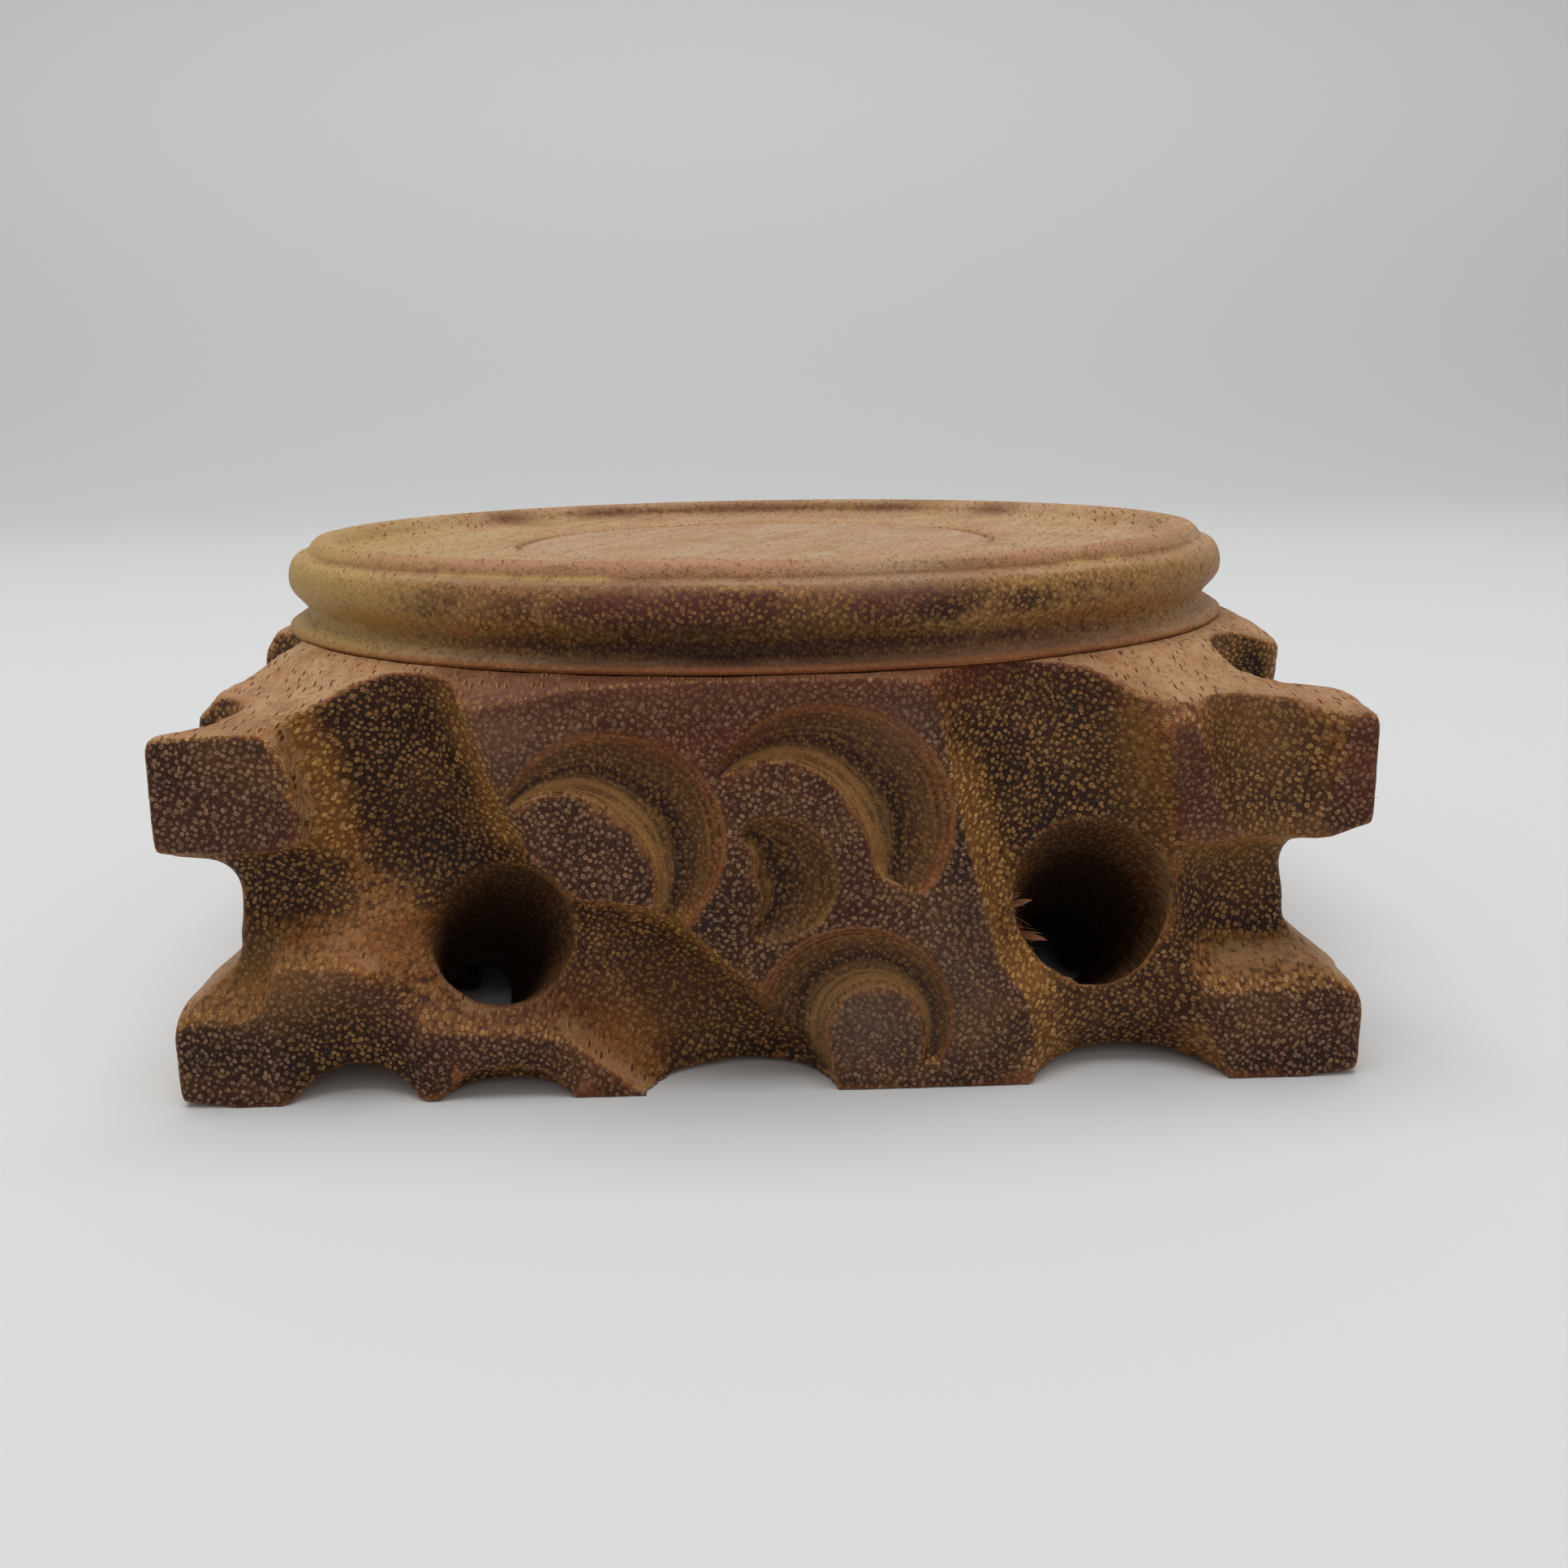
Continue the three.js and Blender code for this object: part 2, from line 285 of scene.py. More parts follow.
# The hollows run into each other softly
soft = bmesh.new()
for balls in hollow_shares.values():
    add_to(soft, stroke(balls))
on_all_sides(soft)
for quarter, balls in single_hollow_shares:
    part = stroke(balls)
    bmesh.ops.rotate(part, cent=(0, 0, 0), matrix=quarter_turn(quarter), verts=part.verts)
    add_to(soft, part)
soft_carving = new_piece("soft_carving", soft)
apply_to(soft_carving, "REMESH", mode="VOXEL", voxel_size=soft_step)
apply_to(soft_carving, "SMOOTH", factor=0.5, iterations=8)
cut_away(base, soft_carving)
apply_to(base, "REMESH", mode="VOXEL", voxel_size=fine_step)


def places_of(mesh):
    places = np.empty(len(mesh.vertices) * 3)
    mesh.vertices.foreach_get("co", places)
    return places.reshape(-1, 3)


def set_places(mesh, places):
    mesh.vertices.foreach_set("co", places.ravel())
    mesh.update()


def keep_in_block(mesh, places):
    places[:, :2] = np.clip(places[:, :2], -half_side, half_side)
    places[:, 2] = np.clip(places[:, 2], 0, base_height)
    set_places(mesh, places)


def set_attribute(mesh, name, kind, field, values):
    mesh.attributes.new(name, kind, "POINT").data.foreach_set(field, values.ravel())


# Outer corners and the top edges are worn round, every other edge a little
places = places_of(base.data)
corner_start = half_side - worn_corner
near_corner = (np.minimum(abs(places[:, 0]), abs(places[:, 1])) - corner_start) / (half_side - corner_start)
near_corner += 0.45 * np.clip(places[:, 2] / base_height * 5 - 3.7, 0, 1)
corners = base.vertex_groups.new(name="corners")
for least, weight in ((0.05, 0.3), (0.3, 0.6), (0.55, 1.0)):
    corners.add(np.nonzero(near_corner > least)[0].tolist(), weight, "REPLACE")
apply_to(base, "SMOOTH", factor=0.5, iterations=corner_passes, vertex_group="corners")
reach = np.maximum(abs(places[:, 0]), abs(places[:, 1]))
along_top = (places[:, 2] > 0.87 * base_height) & (reach > half_side - 3 * MM)
top_edge = base.vertex_groups.new(name="top_edge")
top_edge.add(np.nonzero(along_top)[0].tolist(), 0.8, "REPLACE")
apply_to(base, "SMOOTH", factor=0.5, iterations=top_passes, vertex_group="top_edge")
apply_to(base, "SMOOTH", factor=0.5, iterations=3)

# Hand work leaves nothing quite flat
places = places_of(base.data)
normals = np.empty(places.size)
base.data.vertex_normals.foreach_get("vector", normals)
normals = normals.reshape(-1, 3)
waves = np.array([noise(Vector(place) * 170) * 0.65 + noise(Vector(place) * 620) * 0.35 for place in places])
places -= normals * (worn_depth + wave_depth * waves)[:, None]
keep_in_block(base.data, places)
triangles = sum(len(face.vertices) - 2 for face in base.data.polygons)
if triangles > most_triangles:
    apply_to(base, "DECIMATE", ratio=most_triangles / triangles)
keep_in_block(base.data, places_of(base.data))
base.data.shade_smooth()

# Where each point lies in a crescent, how deep in a hole it is, and where torn fibres show gold
torn_shares = [
    ((-0.790, 0.896), (-0.756, 0.806), 0.024),
    ((-0.756, 0.806), (-0.735, 0.620), 0.032),
    ((-0.520, 0.950), (-0.446, 0.629), 0.034),
    ((0.318, 0.760), (0.382, 0.463), 0.034),
    ((0.382, 0.463), (0.476, 0.045), 0.042),
    ((-0.368, 0.490), (-0.211, 0.478), 0.016),
    ((-0.211, 0.470), (-0.070, 0.310), 0.030),
    ((-0.300, 0.280), (-0.210, 0.150), 0.040),
]
places = places_of(base.data)
in_crescent = np.zeros((len(places), 3))
torn = np.zeros(len(places))
in_hole = np.zeros(len(places))
for quarter in range(4):
    turn = quarter * math.pi / 2
    across = (places[:, 0] * math.cos(turn) + places[:, 1] * math.sin(turn)) / half_side
    inward = (places[:, 1] * math.cos(turn) - places[:, 0] * math.sin(turn)) / half_side + 1
    up = places[:, 2] / half_side
    for name, (centre, arc, width, swell, facing, span, points) in crescent_shares.items():
        rise = centre[1] * base_height / half_side
        away = np.hypot(across - centre[0], up - rise)
        angle = np.arctan2(up - rise, across - centre[0]) - math.radians(facing)
        angle = (angle + math.pi) % (2 * math.pi) - math.pi
        near = (abs(away - arc) < widest_crescent_share) & (inward < 2 * gouge_depth / half_side)
        for point in np.nonzero(near)[0]:
            along = math.degrees(angle[point]) / (span[1] if angle[point] > 0 else -span[0])
            here = crescent_width(width, swell, angle[point], max(-1, min(1, along)), points)
            out = (away[point] - arc) / max(here, 1e-6)
            if abs(along) < 1 and abs(out) < rim_reach_share:
                steepness = 0.6 if name == "comma" else 1.0
                cover = min((rim_reach_share - abs(out)) / (rim_reach_share - 1), 1)
                in_crescent[point] = out * steepness, along, cover
    on_side = np.stack((across * half_side, (inward - 1) * half_side, places[:, 2]), axis=1)
    for chain in hole_shares:
        for (first, first_radius), (second, second_radius) in zip(chain, chain[1:]):
            axis = np.array(on_face(second) - on_face(first))
            share = np.clip((on_side - np.array(on_face(first))) @ axis / (axis @ axis), 0, 1)
            distance = np.linalg.norm(on_side - np.array(on_face(first)) - share[:, None] * axis, axis=1)
            radius = (first_radius + (second_radius - first_radius) * share) * half_side
            depth = np.clip((inward * half_side - 1.5 * MM) / (5 * MM), 0, 1)
            in_hole = np.maximum(in_hole, depth * (distance < radius + 0.4 * MM))
    for first, second, reach in torn_shares:
        line = np.array(second) - np.array(first)
        line[1] *= base_height / half_side
        rise = first[1] * base_height / half_side
        share = ((across - first[0]) * line[0] + (up - rise) * line[1]) / (line @ line)
        share = np.clip(share, 0, 1)
        distance = np.hypot(across - first[0] - share * line[0], up - rise - share * line[1])
        torn = np.maximum(torn, np.clip(1.5 - distance / reach, 0, 1) * (inward < 0.2))
set_attribute(base.data, "in_crescent", "FLOAT_VECTOR", "vector", in_crescent)
set_attribute(base.data, "torn", "FLOAT", "value", torn)
set_attribute(base.data, "in_hole", "FLOAT", "value", in_hole)


def add_node(tree, kind, inputs=None, **settings):
    made = tree.nodes.new("ShaderNode" + kind)
    for setting, value in settings.items():
        setattr(made, setting, value)
    for socket, value in (inputs or {}).items():
        if isinstance(value, bpy.types.NodeSocket):
            tree.links.new(value, made.inputs[socket])
        else:
            made.inputs[socket].default_value = value
    return made


def calculate(tree, operation, *values):
    return add_node(tree, "Math", dict(enumerate(values)), operation=operation).outputs[0]


def times(tree, *values):
    product = values[0]
    for value in values[1:]:
        product = calculate(tree, "MULTIPLY", product, value)
    return product


def between(tree, value, low, high, to_low=0.0, to_high=1.0):
    return add_node(tree, "MapRange", {0: value, 1: low, 2: high, 3: to_low, 4: to_high},
                    interpolation_type="SMOOTHSTEP").outputs[0]


def cloud(tree, place, scale, seed=0.0, detail=2.0, roughness=0.5):
    """Noise from 0 to 1 with its own scale, per millimetre, along each axis."""
    moved = add_node(tree, "Mapping", {"Vector": place, "Scale": scale, "Location": (seed, seed * 0.7, 0)})
    return add_node(tree, "TexNoise", {"Vector": moved.outputs[0], "Scale": 1.0, "Detail": detail,
                                       "Roughness": roughness}).outputs[0]


def mixed(tree, share, first, second):
    return add_node(tree, "Mix", {0: share, 6: first, 7: second}, data_type="RGBA").outputs[2]


def srgb(red, green, blue):
    linear = [level / 12.92 if level <= 0.04045 else ((level + 0.055) / 1.055) ** 2.4
              for level in (red / 255, green / 255, blue / 255)]
    return (*linear, 1)


def paint_patches(piece, patches, colours):
    """Soft patches: a place, the reach along each axis in millimetres, the colour and how strong it is."""
    places = places_of(piece.data)
    painted = np.zeros((len(places), 4))
    for place, reach, colour, strength in patches:
        away = ((places - np.array(place)) / (np.array(reach) * MM)) ** 2
        share = strength * np.exp(-away.sum(axis=1))
        cover = share + painted[:, 3] * (1 - share)
        blend = (share / np.maximum(cover, 1e-6))[:, None]
        painted[:, :3] = painted[:, :3] * (1 - blend) + np.array(colours[colour][:3]) * blend
        painted[:, 3] = cover
    set_attribute(piece.data, "patch", "FLOAT_COLOR", "color", painted)


# How close the vessels lie across the grain, the least and the most radius of a ring as shares of that
# spacing, and how close the dashes lie along each axis
vessels_per_mm = 1.90
ring_radius_shares = (0.25, 0.385)
dashes_per_mm = (2.0, 0.30, 0.9)


def vessel_rings(tree, place, seed):
    """Pale rings with a dark eye, which wander a little, and random numbers that each ring has."""
    moved = add_node(tree, "Mapping", {"Vector": place, "Scale": (0.20, 0.07, 0.20),
                                       "Location": (seed, 0, 0)})
    drift = add_node(tree, "TexNoise", {"Vector": moved.outputs[0], "Scale": 1.0, "Detail": 2.0})
    drift = add_node(tree, "VectorMath", {0: drift.outputs["Color"], 1: (0.5, 0.5, 0.5)},
                     operation="SUBTRACT").outputs[0]
    drift = add_node(tree, "VectorMath", {0: drift, "Scale": 1.5}, operation="SCALE").outputs[0]
    wandered = add_node(tree, "VectorMath", {0: place, 1: drift}).outputs[0]
    wandered = add_node(tree, "SeparateXYZ", {0: wandered})
    section = add_node(tree, "CombineXYZ", {0: wandered.outputs["X"], 1: wandered.outputs["Z"]}).outputs[0]
    section = add_node(tree, "Mapping", {"Vector": section, "Rotation": (0, 0, 0.5)}).outputs[0]
    vessels = add_node(tree, "TexVoronoi", {"Vector": section, "Scale": vessels_per_mm, "Randomness": 0.78},
                       voronoi_dimensions="2D")
    distance = vessels.outputs["Distance"]
    chance = add_node(tree, "SeparateColor", {0: vessels.outputs["Color"]}).outputs
    share = calculate(tree, "DIVIDE", distance, between(tree, chance[0], 0.0, 1.0, *ring_radius_shares))
    ring = times(tree, between(tree, share, 1.08, 0.74), between(tree, share, 0.10, 0.60, 0.72, 1.0))
    eye = times(tree, between(tree, distance, 0.13, 0.05), between(tree, chance[1], 0.2, 0.6, 0.1, 1.0))
    return ring, eye, chance


def dash_marks(tree, place, shift):
    """Short marks along the grain, moved sideways by a share of a cell."""
    moved = add_node(tree, "Mapping", {"Vector": place, "Scale": dashes_per_mm, "Location": (shift, 0, 0)})
    cells = add_node(tree, "TexVoronoi", {"Vector": moved.outputs[0], "Scale": 1.0})
    return between(tree, cells.outputs["Distance"], 0.27, 0.15)


def crescent_ground(tree, colours, place, facing_up, seed):
    """Scraped smooth, with fine marks along it. A dark line down the middle is painted shade on the groove's
    floor, and gold on the steep inner wall where it faces up is a painted highlight.
    """
    from_arc = add_node(tree, "SeparateXYZ", {0: place}).outputs["X"]
    marks = cloud(tree, place, (9.0, 1.2, 1.0), seed, 3.0, 0.7)
    # Painted light and shade: gold where the inner wall faces up, dark along the groove's floor
    painted_wall_light = times(tree, between(tree, from_arc, -0.25, -0.85),
                     between(tree, facing_up, -0.1, 0.5, 0.55, 1.0))
    ground = mixed(tree, between(tree, from_arc, -0.30, 0.45), colours["dark marks and painted groove shade"], colours["scraped"])
    ground = mixed(tree, painted_wall_light, ground, colours["painted highlight gold"])
    ground = mixed(tree, between(tree, from_arc, 0.55, 0.95, 0, 0.7), ground, colours["edge"])
    ground = mixed(tree, between(tree, marks, 0.44, 0.66, 0, 0.65), ground, colours["dark marks and painted groove shade"])
    return mixed(tree, between(tree, marks, 0.46, 0.30, 0, 0.45), ground, colours["gold"])


def open_grained_wood(name, colours, seed, dash_depth=0.9, end_from=0.0, dots_below=100.0, streak_turn=0.0,
                      dots_lost=0.55, carved=False):
    """Vessels run along Y: pale rings with a dark eye on end grain, dark dashes on long grain."""
    material = bpy.data.materials.new(name)
    material.use_nodes = True
    tree = material.node_tree
    shader = tree.nodes["Principled BSDF"]
    place = add_node(tree, "TexCoord").outputs["Object"]
    place = add_node(tree, "VectorMath", {0: place, "Scale": 1 / MM}, operation="SCALE").outputs[0]
    spot = add_node(tree, "SeparateXYZ", {0: place})
    geometry = add_node(tree, "NewGeometry")
    facing = add_node(tree, "SeparateXYZ", {0: geometry.outputs["Normal"]})
    end_grain = calculate(tree, "ABSOLUTE", facing.outputs["Y"])
    patch = add_node(tree, "Attribute", attribute_name="patch")
    ring, eye, chance = vessel_rings(tree, place, seed)

    # Broad changes of colour, streaks and fine fibres along the grain, and small specks
    along_grain = add_node(tree, "Mapping", {"Vector": place, "Rotation": (0, 0, math.radians(streak_turn))})
    broad = cloud(tree, place, (0.045, 0.03, 0.07), seed, 3.0, 0.6)
    patchy = cloud(tree, place, (0.16, 0.10, 0.20), seed + 9, 3.0, 0.6)
    streak = cloud(tree, along_grain.outputs[0], (0.5, 0.015, 0.32), seed + 5, 3.0, 0.6)
    fibre = cloud(tree, along_grain.outputs[0], (5.0, 0.35, 5.0), seed, 2.0, 0.6)
    grit = cloud(tree, place, (1.5, 1.5, 1.5), seed + 3, 4.0, 0.65)
    speck = cloud(tree, place, (3.4, 3.4, 3.4), seed, 2.0, 0.7)

    # End grain is dark, long grain is pale, and slopes between the two have a colour of their own
    end_ground = mixed(tree, between(tree, broad, 0.40, 0.60), colours["end dark"], colours["end red"])
    end_ground = mixed(tree, between(tree, patchy, 0.46, 0.68, 0, 0.8), end_ground, colours["end ochre"])
    side_ground = mixed(tree, between(tree, streak, 0.34, 0.66), colours["side"], colours["side red"])
    side_ground = mixed(tree, between(tree, patchy, 0.45, 0.70, 0, 0.5), side_ground, colours["slope"])
    side_ground = mixed(tree, between(tree, grit, 0.50, 0.72, 0, 0.45), side_ground, colours["edge"])
    slope_ground = mixed(tree, between(tree, broad, 0.48, 0.64, 0, 0.4), colours["slope"], colours["edge"])
    slope_ground = mixed(tree, between(tree, grit, 0.42, 0.60, 0, 0.85), slope_ground, colours["slope dark"])
    leaning = calculate(tree, "ADD", end_grain, times(tree, calculate(tree, "SUBTRACT", patchy, 0.5), -0.55))
    leaning = calculate(tree, "ADD", leaning, times(tree, calculate(tree, "SUBTRACT", grit, 0.5), 0.3))

    # Surfaces that face up are painted paler, as painted top light, so they show as long grain sooner
    painted_top_light = between(tree, facing.outputs["Z"], 0.20, 0.80, 0.0, 0.20)
    if carved:
        in_crescent = add_node(tree, "Attribute", attribute_name="in_crescent").outputs["Vector"]
        crescent_cover = add_node(tree, "SeparateXYZ", {0: in_crescent}).outputs["Z"]
        painted_top_light = times(tree, painted_top_light, between(tree, crescent_cover, 0.3, 0.0))
    leaning = calculate(tree, "SUBTRACT", leaning, painted_top_light)
    grained = calculate(tree, "SUBTRACT", end_grain, painted_top_light)
    to_slope = between(tree, leaning, 0.10 + end_from, 0.40 + end_from)
    to_end = between(tree, leaning, 0.46 + end_from, 0.86 + end_from * 0.5)
    ground = mixed(tree, to_slope, side_ground, slope_ground)
    ground = mixed(tree, to_end, ground, end_ground)
    dot = mixed(tree, to_end, colours["dot gold"], colours["dot"])
    if carved:
        # The floors of the carving are darker, and dots there are more golden than on the outer faces
        reach = calculate(tree, "MAXIMUM", calculate(tree, "ABSOLUTE", spot.outputs["X"]),
                          calculate(tree, "ABSOLUTE", spot.outputs["Y"]))
        cut_back = between(tree, reach, half_side / MM - 0.4, half_side / MM - 1.8)
        darkened = times(tree, cut_back, to_end, between(tree, patchy, 0.65, 0.35, 0.25, 0.85))
        ground = mixed(tree, darkened, ground, colours["end cut"])
        dot = mixed(tree, cut_back, dot, colours["dot cut"])
        inside = between(tree, crescent_cover, 0.1, 0.9)
        ground = mixed(tree, times(tree, inside, 0.85), ground,
                       crescent_ground(tree, colours, in_crescent, facing.outputs["Z"], seed))
        torn_here = times(tree, add_node(tree, "Attribute", attribute_name="torn").outputs["Fac"],
                          between(tree, grit, 0.36, 0.56), between(tree, leaning, 1.0, 0.88))
        ground = mixed(tree, times(tree, torn_here, 0.8), ground, colours["torn"])
        dot = mixed(tree, torn_here, dot, colours["dot torn"])
    painted = times(tree, patch.outputs["Alpha"], between(tree, patchy, 0.2, 0.6, 0.75, 1.0))
    ground = mixed(tree, painted, ground, patch.outputs["Color"])
    ground = mixed(tree, between(tree, fibre, 0.50, 0.78, 0, 0.5), ground, colours["dash"])
    ground = mixed(tree, between(tree, fibre, 0.46, 0.24, 0, 0.25), ground, colours["dot gold"])
    ground = mixed(tree, between(tree, grit, 0.52, 0.70, 0, 0.35), ground, colours["end dark"])

    # Dots fade towards long grain, where the vessels lie open as dashes
    light = times(tree, ring, between(tree, grained, 0.06 + end_from, 0.40 + end_from),
                  between(tree, chance[2], 0.0, 1.0, 0.45, 1.0),
                  between(tree, patchy, 0.3, 0.7, 0.75, 1.0),
                  between(tree, spot.outputs["Z"], dots_below + 0.1, dots_below - 0.2),
                  calculate(tree, "SUBTRACT", 1.0, times(tree, painted, dots_lost)))
    if carved:
        light = times(tree, light, calculate(tree, "SUBTRACT", 1.0, times(tree, inside, 0.45)))
    long_grain = between(tree, grained, 0.10, 0.45, dash_depth, 0)
    dashes = times(tree, dash_marks(tree, place, 0.0), long_grain)
    # Painted highlight: a gold rim beside each dash, as if light caught one side of the pit
    dash_painted_highlight = times(tree, dash_marks(tree, place, 0.22), long_grain, 0.5)
    eye = times(tree, eye, between(tree, end_grain, 0.3, 0.8, 0.0, 0.8))
    colour = mixed(tree, light, ground, dot)
    colour = mixed(tree, eye, colour, colours["end dark"])
    colour = mixed(tree, dash_painted_highlight, colour, colours["dot gold"])
    colour = mixed(tree, dashes, colour, colours["dash"])
    colour = mixed(tree, between(tree, speck, 0.60, 0.85, 0, 0.3), colour, colours["dot"])

    # Sharp convex edges turn to a lighter, redder line
    pale_band = times(tree, between(tree, geometry.outputs["Pointiness"], 0.515, 0.56),
                 between(tree, speck, 0.3, 0.6, 0.4, 1.0))
    colour = mixed(tree, times(tree, pale_band, 0.55), colour, colours["edge"])
    if carved:
        # Painted light and shade in the holes: their walls are painted paler with gold rings, in place of
        # light thrown up into them, and deep in the cavity the wood is painted near black as painted shade
        painted_cavity_shade = times(tree, between(tree, reach, 43.0, 36.0), between(tree, spot.outputs["Z"], 27.0, 23.0))
        painted_bore_light = add_node(tree, "Attribute", attribute_name="in_hole").outputs["Fac"]
        painted_bore_wall = mixed(tree, times(tree, ring, 0.35), colours["painted_bore_light"], colours["dot gold"])
        colour = mixed(tree, times(tree, painted_bore_light, 0.75), colour, painted_bore_wall)
        colour = mixed(tree, times(tree, painted_cavity_shade, 0.85), colour, colours["unlit"])
    tree.links.new(colour, shader.inputs["Base Color"])
    tree.links.new(between(tree, speck, 0.2, 0.8, 0.46, 0.72), shader.inputs["Roughness"])
    shader.inputs["Specular IOR Level"].default_value = 0.15

    # Fibres stand up a little, dashes and eyes are pits
    relief = calculate(tree, "ADD", times(tree, fibre, 0.8), times(tree, speck, 0.5))
    relief = calculate(tree, "SUBTRACT", relief, dashes)
    relief = calculate(tree, "SUBTRACT", relief, eye)
    bump = add_node(tree, "Bump", {"Height": relief, "Strength": 0.8, "Distance": 0.12 * MM})
    tree.links.new(bump.outputs[0], shader.inputs["Normal"])
    return material


def dress(piece, material, node):
    piece.data.materials.clear()
    piece.data.materials.append(material)
    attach(piece, "root")
    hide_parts(node)


base_colours = {
    "end dark": srgb(34, 21, 16), "end red": srgb(66, 36, 27), "end ochre": srgb(86, 55, 31),
    "end cut": srgb(38, 23, 13), "dot": srgb(160, 122, 90), "dot gold": srgb(200, 152, 90),
    "dot cut": srgb(174, 129, 76), "slope": srgb(128, 84, 42), "slope dark": srgb(70, 42, 22),
    "side": srgb(180, 144, 102), "side red": srgb(178, 132, 94), "dash": srgb(80, 36, 22),
    # Painted light in the crescents: the darkest scraped colour is partly painted shade along their floors,
    # and the bright gold is a painted highlight on their inner walls
    "edge": srgb(158, 94, 52), "scraped": srgb(100, 66, 38), "dark marks and painted groove shade": srgb(34, 19, 12),
    # Two colours here are painted light and shade: the near-black one for deep in the cavity, and the paler
    # brown one on the walls of the holes
    "gold": srgb(160, 112, 54), "painted highlight gold": srgb(186, 136, 78), "unlit": srgb(30, 19, 14),
    "painted_bore_light": srgb(98, 66, 42), "torn": srgb(134, 90, 44), "dot torn": srgb(226, 172, 98),
    # The first colour on the next line, a purple-grey, is a painted highlight
    "painted sheen": srgb(118, 80, 64), "maroon": srgb(88, 38, 26), "dust": srgb(98, 80, 66),
    "red brown": srgb(92, 50, 34),
}
# Stains of the front, and a painted sheen where the panel's top edge rounds over, which is a painted
# highlight: a place on the face, the reach in millimetres, the colour and how strong it is
base_patch_shares = [
    ((-0.44, 0.02, 0.90), (5.5, 8, 4.5), "painted sheen", 0.6),
    ((-0.10, 0.00, 0.86), (9, 4, 3.5), "maroon", 0.7),
    ((0.22, 0.00, 0.90), (3, 4, 4), "painted sheen", 0.5),
    ((0.15, 0.00, 0.17), (4.5, 4, 4.5), "dust", 0.6),
    ((0.31, 0.00, 0.25), (4, 4, 7), "dust", 0.35),
    ((-0.16, 0.08, 0.20), (6, 5, 4.5), "scraped", 0.55),
    ((-0.62, 0.06, 0.42), (5, 6, 3), "slope", 0.4),
    ((0.80, 0.06, 0.55), (7, 6, 2.5), "gold", 0.5),
    ((0.62, 0.05, 0.80), (2.5, 6, 7), "slope", 0.6),
    ((0.57, 0.05, 0.14), (8, 6, 3), "slope dark", 0.35),
    ((-0.42, 0.05, 0.975), (8, 7, 2), "red brown", 0.85),
    ((-0.05, 0.03, 0.985), (15, 6, 2), "red brown", 0.97),
    ((-0.28, 0.05, 1.000), (10, 8, 1.6), "red brown", 0.85),
    ((-0.52, 0.10, 1.000), (6, 6, 1.2), "red brown", 0.6),
    ((0.34, 0.05, 0.975), (9, 7, 2), "maroon", 0.9),
    ((-0.40, 0.09, 0.22), (11, 6, 2.6), "red brown", 0.85),
    ((-0.25, 0.05, 0.11), (4, 5, 2.8), "edge", 0.6),
    ((0.81, 0.07, 0.86), (4.2, 7, 4.5), "slope", 0.6),
    ((0.975, 0.01, 0.76), (1.9, 2.5, 6), "maroon", 0.75),
    ((0.68, 0.00, 0.74), (2.8, 2, 5), "maroon", 0.55),
    ((-0.80, 0.00, 0.60), (3, 2, 3), "maroon", 0.4),
    ((-0.86, 0.04, 0.30), (7, 6, 3), "gold", 0.45),
    ((-0.62, 0.08, 0.36), (6, 6, 1.6), "edge", 0.6),
]
paint_patches(base, [(on_face(place), *stain) for place, *stain in base_patch_shares], base_colours)
dress(base, open_grained_wood("base_wood", base_colours, 0.0, carved=True), "carved_base")


# Torn fibres
# Where the gouge and the drill tore the grain, thin slivers of the wood stand up: in the mouths of the
# holes, under the panel's lower edge and along the edge of the tab.

# From and to on the face, how many, their length and width, which way they lean across, in and up
tear_shares = [
    ((0.404, 0.10, 0.440), (0.424, 0.13, 0.330), 30, 1.2 * MM, 0.20 * MM, (0.7, -0.5, -0.6)),
    ((0.406, 0.08, 0.440), (0.424, 0.10, 0.340), 12, 2.8 * MM, 0.95 * MM, (0.45, -0.45, -0.9)),
    ((0.420, 0.12, 0.330), (0.450, 0.15, 0.250), 22, 1.0 * MM, 0.14 * MM, (0.8, -0.3, 0.4)),
    ((0.480, 0.10, 0.600), (0.600, 0.10, 0.610), 26, 0.7 * MM, 0.07 * MM, (0.1, -0.7, -0.8)),
    ((0.640, 0.08, 0.560), (0.670, 0.08, 0.460), 16, 0.6 * MM, 0.06 * MM, (-0.6, -0.7, 0.1)),
    ((-0.590, 0.12, 0.420), (-0.585, 0.12, 0.330), 18, 0.9 * MM, 0.09 * MM, (0.8, -0.5, 0.2)),
    ((-0.370, 0.01, 0.494), (-0.215, 0.01, 0.480), 70, 0.55 * MM, 0.045 * MM, (0.1, -0.5, -0.9)),
    ((-0.756, 0.01, 0.806), (-0.738, 0.01, 0.630), 60, 0.45 * MM, 0.04 * MM, (0.8, -0.6, 0.0)),
    ((0.330, 0.03, 0.700), (0.400, 0.03, 0.380), 60, 0.45 * MM, 0.04 * MM, (0.3, -0.9, 0.1)),
    ((-0.975, 0.01, 0.890), (-0.980, 0.01, 0.620), 12, 0.3 * MM, 0.04 * MM, (-0.8, -0.4, 0.1)),
]


def sliver(root, aim, length, width):
    """A flat thread that narrows and curls as it leaves the surface."""
    made = bmesh.new()
    stand = Matrix.Translation(root) @ aim.to_track_quat("Z", "Y").to_matrix().to_4x4()
    stand = stand @ Matrix.Diagonal((1, 0.35, 1, 1))
    ends = bmesh.ops.create_circle(made, cap_ends=True, segments=4, radius=width, matrix=stand)["verts"]
    curl = Vector((dice.uniform(-1, 1), dice.uniform(-1, 0.2), dice.uniform(-1, 1))) * length * 0.12
    for step in range(1, 4):
        grown = bmesh.ops.extrude_face_region(made, geom=list(ends[0].link_faces)[-1:])["geom"]
        ends = verts_in(grown)
        bmesh.ops.translate(made, vec=aim * length / 3 + curl * step, verts=ends)
        middle = sum((vert.co for vert in ends), Vector()) / len(ends)
        bmesh.ops.scale(made, vec=(0.72, 0.72, 0.72), space=Matrix.Translation(-middle), verts=ends)
    return made


